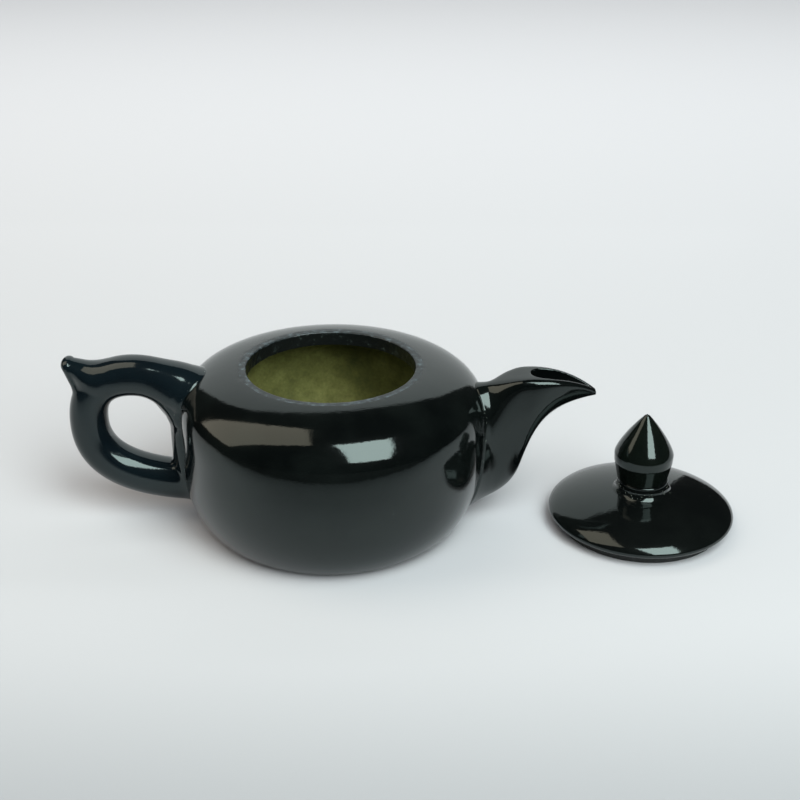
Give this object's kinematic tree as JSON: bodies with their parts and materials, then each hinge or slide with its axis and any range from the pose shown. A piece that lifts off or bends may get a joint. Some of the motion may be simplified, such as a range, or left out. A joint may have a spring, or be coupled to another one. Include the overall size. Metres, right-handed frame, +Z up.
{
  "type": "teapot",
  "caption": "Squat black burnished clay pot with a curved beak spout, a loop handle with a thumb spur, and a loose domed lid with a bud knob.",
  "frame": {"origin": "centre of the pot's flat foot, on the pot's axis", "axes": "+Z up along the pot's axis and out of the mouth, +X towards the spout, handle towards -X"},
  "size_m": [0.2398, 0.11, 0.0623],
  "materials": {
    "body_black": "burnished",
    "spout_black": "burnished",
    "handle_slate": "burnished",
    "lid_black": "burnished",
    "knob_black": "burnished",
    "ground_clay": "matte",
    "olive_inside": "matte"
  },
  "bodies": {
    "pot": {"pot_body": "body_black", "spout": "spout_black", "handle_loop": "handle_slate", "handle_strap": "handle_slate", "thumb_spur": "handle_slate"},
    "lid": {"lid_dome": "lid_black", "lid_flange": "ground_clay", "knob_collar": "lid_black", "lid_knob": "knob_black"}
  },
  "joints": [
    {"name": "lid_lift", "type": "slide", "parent": "pot", "child": "lid", "axis": [0.6, 0, 0.8], "range_m": [0, 0.1]}
  ]
}
